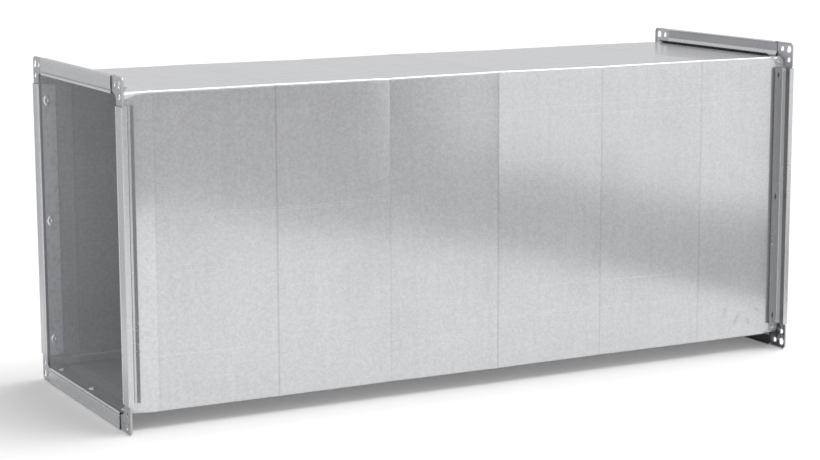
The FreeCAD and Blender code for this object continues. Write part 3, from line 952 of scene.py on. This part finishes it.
    def build(self, materials: dict[str, bpy.types.Material]) -> bpy.types.Object:
        """Builds and dresses the rail: its section carried along its length, with both ends closed.

        Args:
            materials: the materials by the finishes' names.

        Returns:
            The piece.
        """
        axis, sign = self.wall.value
        section, around = self.outline()
        along = self.stations()
        grid, sunk, raised = self.pressed(section, along)
        on_face = 1.0 - smooth_step(grid[..., 0], 0.0, 3.0)
        wave = 0.5 + 0.5 * ripple(along[:, None] * 3.0, np.full((1, 1), 40.0 * axis + 7.0 * sign), 5)
        grid[..., 0] += self.face_wave * np.clip(wave, 0.0, 2.0) * on_face
        place = np.empty((*grid.shape[:2], 3))
        place[..., 0] = self.end.value * (self.duct_length / 2 - grid[..., 0])
        half = self.half_height if axis == 2 else self.half_width
        place[..., axis] = sign * (half - self.seat + grid[..., 1])
        place[..., 3 - axis] = along[:, None]
        place[..., 2] += self.middle
        flow = np.stack(np.broadcast_arrays(along[:, None], around[None, :]), axis=-1)
        depth, height = section[:, 0], section[:, 1]
        lip = (height > 19.9) & (depth > 5.8)
        bend = (height > 20.2) & (depth < 1.4)
        bead = (height < 1.9) & (depth < 2.4)
        hidden = np.arange(len(section)) > np.argmax(depth + height * (depth > 18.0))
        # Painted shade in the face's groove, under the lip, on the hidden faces, on the flare and in the
        # clinch pockets.
        groove = np.exp(-((height - 3.2) / 0.55) ** 2) * (depth < 0.9)
        under_lip = (depth > 3.2) & (depth < 6.9) & (height > 8.0) & (height < 20.1)
        flare = (depth > 17.8) & (height > 3.0)
        upright = self.wall in (Wall.FRONT, Wall.BACK)
        inner_leg = (np.abs(height) < 0.1) & (depth > 5.4) & upright
        flare_shade = self.left_flare_shade if self.end is End.LEFT else self.right_flare_shade
        under_lip_shade = {Wall.TOP: self.high_painted_shade, Wall.BOTTOM: self.low_painted_shade}.get(self.wall, self.side_painted_shade)
        painted_shade = np.select([hidden, under_lip, flare], [self.hidden_painted_shade, under_lip_shade, flare_shade], 0.0)
        painted_shade = np.broadcast_to(np.maximum(groove, painted_shade), grid.shape[:2])
        painted_shade = np.maximum(painted_shade, sunk * self.pocket_painted_shade)
        # Painted highlights on the bead, the lip and its bend and the clinch buttons; the upright rails'
        # inner legs are lightened and made glossier.
        wear = np.select([bead & ~hidden, lip | bend, inner_leg],
                         [self.bead_highlight, self.bend_highlight, self.inner_leg_lightening], 0.0)
        button_highlight = self.upright_button_highlight if upright else self.level_button_highlight
        wear = np.maximum(np.broadcast_to(wear, grid.shape[:2]), raised * button_highlight)
        net = Net()
        net.add_grid(place, flow, wear, around=True, painted_shade=painted_shade)
        # The end caps are fully in painted shade: a dark line where the rail meets the corner piece.
        for row in (0, -1):
            number = net.add_points(place[row], flow[row], wear[row], np.ones(1))
            net.faces.append(number.tolist())
        node = "%s_%s_rail" % (self.end.name.lower(), self.wall.name.lower())
        piece = net.make(node.replace("rail", "rolled_rail"), self.crisp)
        RAIL_FINISH.dress(piece, node, materials)
        return piece


@dataclass
class StampedCorner:
    """One corner piece of a flange frame: an L plate with a turned rim, two tongues and three holes."""

    end: End
    level: Wall
    side: Wall
    duct_length: float = DUCT_LENGTH
    half_outer_width: float = FLANGE_WIDTH / 2
    half_outer_height: float = FLANGE_HEIGHT / 2
    middle: float = AXIS_HEIGHT
    recess: float = 1.5
    plate: float = 1.2
    rim: float = 2.5
    bend: float = 1.6
    corner_radius: float = 6.0
    shoulder: float = 34.0
    inside: float = 20.8
    seat_radius: float = 9.2
    tongue_tip: float = 62.0
    tongue_far: float = 16.46
    tongue_near: float = 19.7
    plate_tip: float = 40.0
    plate_inset: float = 2.7
    holes: tuple[tuple[float, float, float], ...] = ((9.5, 9.5, 5.0), (24.5, 9.5, 3.5), (9.5, 24.5, 3.5))
    hole_steps: int = 36
    # Painted shade on the back of the plate, heavy on the bottom corners and light on the top ones.
    low_painted_shade: float = 1.35
    high_painted_shade: float = 0.12
    rim_wear: float = 0.3
    edge_wear: float = 0.1
    plate_wear: float = 0.05
    crisp: float = 40.0

    def rim_path(self, inset: np.ndarray) -> np.ndarray:
        """The line along both outer edges, moved in by each inset.

        It runs along one arm, round the outer corner on a quarter circle and along the other arm.

        Args:
            inset: distances from the outer edges.

        Returns:
            Places on the plate, path points by insets by 2.
        """
        inset = inset[None, :]
        run = np.linspace(self.shoulder, self.corner_radius, 8)[:, None]
        angle = np.linspace(-math.pi / 2, -math.pi, 12)[1:-1, None]
        arm = np.stack(np.broadcast_arrays(run, inset), axis=-1)
        turn = np.stack([self.corner_radius + (self.corner_radius - inset) * np.cos(angle),
                         self.corner_radius + (self.corner_radius - inset) * np.sin(angle)], axis=-1)
        return np.concatenate([arm, turn, arm[::-1, :, ::-1]])

    def rim_profile(self) -> np.ndarray:
        """The rim's section from the plate's front round its outer edge to the plate's back.

        Returns:
            Inset and depth of each point.
        """
        angle = np.linspace(0.0, math.pi / 2, 6)
        outer = np.stack([self.bend * (1 - np.sin(angle)), self.bend * (1 - np.cos(angle))], axis=1)
        inner_radius = self.bend - self.plate
        inner = self.bend - inner_radius * np.stack([np.cos(angle), np.sin(angle)], axis=1)
        edge = np.array([(0.0, self.rim - 0.15), (0.15, self.rim), (self.plate - 0.15, self.rim),
                         (self.plate, self.rim - 0.15)])
        return np.concatenate([outer, edge, inner])

    def open_edge(self) -> np.ndarray:
        """The plate's cut edge from the end of one arm's rim round both tongues to the other's.

        Each arm goes on a few millimetres into the rail's hollow, and its tongue farther still.

        Returns:
            Places on the plate.
        """
        angle = np.linspace(math.pi, 1.5 * math.pi, 9)
        reach = self.inside + self.seat_radius
        seat = reach + self.seat_radius * np.stack([np.cos(angle), np.sin(angle)], axis=1)
        arm = np.array([
            (self.bend, self.shoulder), (self.plate_inset, self.shoulder), (self.plate_inset, self.plate_tip),
            (self.tongue_far, self.plate_tip), (self.tongue_far, self.tongue_tip - 1.0),
            (self.tongue_far + 1.0, self.tongue_tip), (self.tongue_near - 1.0, self.tongue_tip),
            (self.tongue_near, self.tongue_tip - 1.0), (self.tongue_near, self.shoulder),
            (self.inside, self.shoulder)])
        return np.concatenate([arm, seat, arm[::-1, ::-1]])

    def circles(self) -> list[np.ndarray]:
        """The edges of the holes, one array of places each."""
        angle = np.linspace(0.0, math.tau, self.hole_steps, endpoint=False)
        ring = np.stack([np.cos(angle), np.sin(angle)], axis=1)
        return [np.array([across, up]) + radius * ring for across, up, radius in self.holes]

    def fill(self, loops: list[np.ndarray]) -> tuple[np.ndarray, np.ndarray]:
        """Fills the plate's face between its outline and its holes with triangles.

        A triangle lies in a hole when its middle is nearer to the hole's centre than the mean of two
        distances: that of the middle of three neighbouring rim points, and that of the rim's chords.

        Args:
            loops: the closed loops of places, the outline first.

        Returns:
            The places of all loops, and the triangles' place numbers.
        """
        places = np.concatenate(loops)
        sizes = [len(loop) for loop in loops]
        starts = np.concatenate([[0], np.cumsum(sizes)[:-1]])
        edges = np.concatenate([start + np.stack([np.arange(size), (np.arange(size) + 1) % size], axis=1)
                                for start, size in zip(starts, sizes)])
        result = delaunay_2d_cdt([Vector(place) for place in places], edges.tolist(), [], 1, 1e-5)
        triangles = np.array(result[2])
        middle = places[triangles].mean(axis=1)
        keep = np.ones(len(triangles), bool)
        step = math.tau / self.hole_steps
        rim_share = (1.0 + 2.0 * math.cos(step)) / 6.0 + math.cos(step / 2) / 2.0
        for across, up, radius in self.holes:
            keep &= np.linalg.norm(middle - (across, up), axis=1) > radius * rim_share
        return places, triangles[keep]

    def placed(self, places: np.ndarray, depth: np.ndarray) -> np.ndarray:
        """Carries places on the plate to the part's frame.

        Args:
            places: distances from the two outer edges, last.
            depth: distance behind the plate's front.

        Returns:
            X, Y and Z, last.
        """
        across = self.side.value[1] * (self.half_outer_width - places[..., 0])
        up = self.level.value[1] * (self.half_outer_height - places[..., 1]) + self.middle
        along = self.end.value * (self.duct_length / 2 - self.recess - depth)
        return np.stack(np.broadcast_arrays(along, across, up), axis=-1)

    def build(self, materials: dict[str, bpy.types.Material]) -> bpy.types.Object:
        """Builds and dresses the corner piece.

        Args:
            materials: the materials by the finishes' names.

        Returns:
            The piece.
        """
        profile = self.rim_profile()
        rim = self.rim_path(profile[:, 0])
        edge = self.open_edge()
        circles = self.circles()
        both = np.array([[0.0], [self.plate]])
        net = Net()
        rim_wear = self.rim_wear * np.clip(1.0 - np.abs(profile[:, 1] - 1.2) / 1.6, 0.0, 1.0)[None, :]
        ring = net.add_grid(self.placed(rim, profile[None, :, 1]), rim, rim_wear, around=False)
        net.faces += [ring[0].tolist(), ring[-1].tolist()]
        edge_wear = np.full((1, 1), self.edge_wear)
        net.add_grid(self.placed(edge[None], both), edge[None], edge_wear, around=False)
        for circle in circles:
            net.add_grid(self.placed(circle[None], both), circle[None], np.zeros((1, 1)), around=True)
        outline = np.concatenate([rim[:, 0], edge[1:-1]])
        places, triangles = self.fill([outline, *circles])
        # Painted shade on the plate's back, heavier on the bottom corners.
        painted_dark = self.low_painted_shade if self.level is Wall.BOTTOM else self.high_painted_shade
        for depth, painted_shade in ((0.0, 0.0), (self.plate, painted_dark)):
            where = self.placed(places, np.full(len(places), depth))
            number = net.add_points(where, places, np.full(1, self.plate_wear), np.full(1, painted_shade))
            net.faces += number[triangles].tolist()
        node = "%s_%s_%s_corner" % (self.end.name.lower(), self.level.name.lower(), self.side.name.lower())
        piece = net.make(node.replace("corner", "stamped_corner"), self.crisp)
        CORNER_FINISH.dress(piece, node, materials)
        return piece


@dataclass(frozen=True)
class ReflectionCard:
    """A grey card that only reflections see, as a photographer stands one beside bright metal."""

    name: str
    corners: tuple[tuple[float, float, float], ...]
    level: float

    def build(self) -> bpy.types.Object:
        """Makes the card as one flat face, which no lamp or camera sees.

        Returns:
            The card.
        """
        mesh = bpy.data.meshes.new(self.name)
        mesh.from_pydata(np.array(self.corners), [], [list(range(len(self.corners)))])
        made = bpy.data.materials.new(self.name)
        graph = empty_graph(made)
        shade = (self.level, self.level, self.level, 1.0)
        glow = graph.add("ShaderNodeEmission", {"Color": shade, "Strength": 1.0})
        graph.add("ShaderNodeOutputMaterial", {"Surface": glow.outputs[0]})
        mesh.materials.append(made)
        card = link_object(self.name, mesh)
        card.visible_camera = False
        card.visible_diffuse = False
        card.visible_transmission = False
        card.visible_volume_scatter = False
        card.visible_shadow = False
        return card


def floor_plan(height: float, *places: tuple[float, float]) -> tuple[tuple[float, float, float], ...]:
    """Places on the floor plan, all at one height."""
    return tuple((across, back, height) for across, back in places)


@dataclass
class Studio:
    """The pale floor, the soft light, the reflection cards and the camera."""

    eye: tuple[float, float, float] = (-1.36875, -2.55883, 0.68622)
    forward: tuple[float, float, float] = (0.4589729, 0.87228085, -0.1687305)
    right: tuple[float, float, float] = (0.88469171, -0.46616404, -0.00341634)
    lens: float = 93.28
    sensor: float = 36.0
    floor_level: float = -0.0004
    floor_half: float = 9.0
    floor_colour: tuple[float, float, float, float] = (0.8, 0.8, 0.8, 1.0)
    floor_glow: float = 0.15
    ambient: float = 0.62
    sun_from: tuple[float, float, float] = (0.47, -0.10, 0.88)
    sun_angle: float = 52.0
    sun_strength: float = 2.1
    cards: tuple[ReflectionCard, ...] = (
        ReflectionCard("front_card", floor_plan(
            0.003, (0.76, -0.2), (0.66, -0.51), (0.56, -0.94), (0.45, -1.21), (0.28, -1.53), (0.05, -1.85),
            (-0.6, -2.3), (-3.0, -3.0), (-3.0, -7.0), (3.9, -7.0), (1.95, -3.73), (1.5, -2.97), (1.2, -2.38),
            (1.1, -1.91), (1.13, -1.53), (1.2, -1.21), (1.3, -0.94), (1.5, -0.51)), 0.30),
        ReflectionCard("far_card", floor_plan(
            0.006, (0.55, -3.2), (0.75, -3.9), (1.0, -5.5), (2.3, -5.5), (1.66, -3.73), (1.30, -2.97),
            (1.20, -2.75)), 0.10),
        ReflectionCard("back_card", floor_plan(
            0.003, (-0.72, 0.25), (-0.72, 3.5), (-1.6, 6.0), (-5.0, 6.0), (-5.0, 0.6)), 0.60),
        ReflectionCard("rear_card", (
            (-3.0, 7.0, 0.05), (9.0, 7.0, 0.05), (9.0, 7.0, 4.5), (-3.0, 7.0, 4.5)), 0.70),
    )

    def build(self) -> None:
        """Builds the whole studio."""
        bpy.context.scene.view_settings.view_transform = "Standard"
        self._floor()
        self._world()
        self._lamp()
        for card in self.cards:
            card.build()
        self._camera()

    def _seen(self, graph: Graph) -> bpy.types.NodeSocket:
        """A mask that is 1 for camera, glossy and transmission rays.

        Args:
            graph: the graph that the mask goes into.

        Returns:
            The mask.
        """
        path = graph.add("ShaderNodeLightPath").outputs
        seen = graph.math("MAXIMUM", path["Is Camera Ray"], path["Is Glossy Ray"])
        return graph.math("MAXIMUM", seen, path["Is Transmission Ray"])

    def _floor(self) -> None:
        """A wide pale floor that keeps the shadow and is lifted to white where it is lit."""
        side = np.array([-self.floor_half, self.floor_half])
        across, up = np.meshgrid(side, side)
        points = np.stack([across.ravel(), up.ravel(), np.full(4, self.floor_level)], axis=1)
        mesh = bpy.data.meshes.new("studio_floor")
        mesh.from_pydata(points, [], [[0, 1, 3, 2]])
        made = bpy.data.materials.new("pale_floor")
        graph = empty_graph(made)
        matt = graph.add("ShaderNodeBsdfDiffuse", {"Color": self.floor_colour})
        lift = graph.math("MULTIPLY", self._seen(graph), self.floor_glow)
        glow = graph.add("ShaderNodeEmission", {"Color": (1.0, 1.0, 1.0, 1.0), "Strength": lift})
        both = graph.add("ShaderNodeAddShader", {0: matt.outputs[0], 1: glow.outputs[0]})
        graph.add("ShaderNodeOutputMaterial", {"Surface": both.outputs[0]})
        mesh.materials.append(made)
        floor = link_object("studio_floor", mesh)

    def _world(self) -> None:
        """A white background for what is seen, and a plain level of light for the rest."""
        world = bpy.data.worlds.new("studio_world")
        bpy.context.scene.world = world
        graph = empty_graph(world)
        strength = graph.ramp(self._seen(graph), 0.0, 1.0, self.ambient, 1.0)
        sky = graph.add("ShaderNodeBackground", {"Color": (1.0, 1.0, 1.0, 1.0), "Strength": strength})
        graph.add("ShaderNodeOutputWorld", {"Surface": sky.outputs[0]})

    def _lamp(self) -> None:
        """One large soft lamp, high up on the right and a little to the front, that lights evenly."""
        lamp = bpy.data.lights.new("high_softbox", "SUN")
        lamp.angle = math.radians(self.sun_angle)
        lamp.energy = self.sun_strength
        holder = link_object("high_softbox", lamp)
        holder.location = Vector(self.sun_from) * 3.0
        holder.rotation_mode = "QUATERNION"
        holder.rotation_quaternion = Vector(self.sun_from).to_track_quat("Z", "Y")

    def _camera(self) -> None:
        """The camera at the photograph's viewing angle."""
        data = bpy.data.cameras.new("camera")
        data.lens = self.lens
        data.sensor_width = self.sensor
        data.sensor_fit = "HORIZONTAL"
        holder = link_object("camera", data)
        forward = Vector(self.forward).normalized()
        right = Vector(self.right).normalized()
        up = right.cross(forward)
        turn = Matrix((right, up, -forward)).transposed().to_4x4()
        holder.matrix_world = Matrix.Translation(self.eye) @ turn
        bpy.context.scene.camera = holder


def main() -> None:
    """Builds the duct's pieces in order, then the studio."""
    logging.basicConfig(level=logging.INFO, format="%(name)s: %(message)s")
    effects = SharedEffects()
    finishes = (SHEET_FINISH, RAIL_FINISH, CORNER_FINISH)
    materials = {finish.name: finish.material(effects) for finish in finishes}
    FoldedSheet().build(materials)
    for end in End:
        for wall in Wall:
            RolledRail(end, wall).build(materials)
        for level in (Wall.BOTTOM, Wall.TOP):
            for side in (Wall.FRONT, Wall.BACK):
                StampedCorner(end, level, side).build(materials)
    Studio().build()


if __name__ == "__main__":
    main()
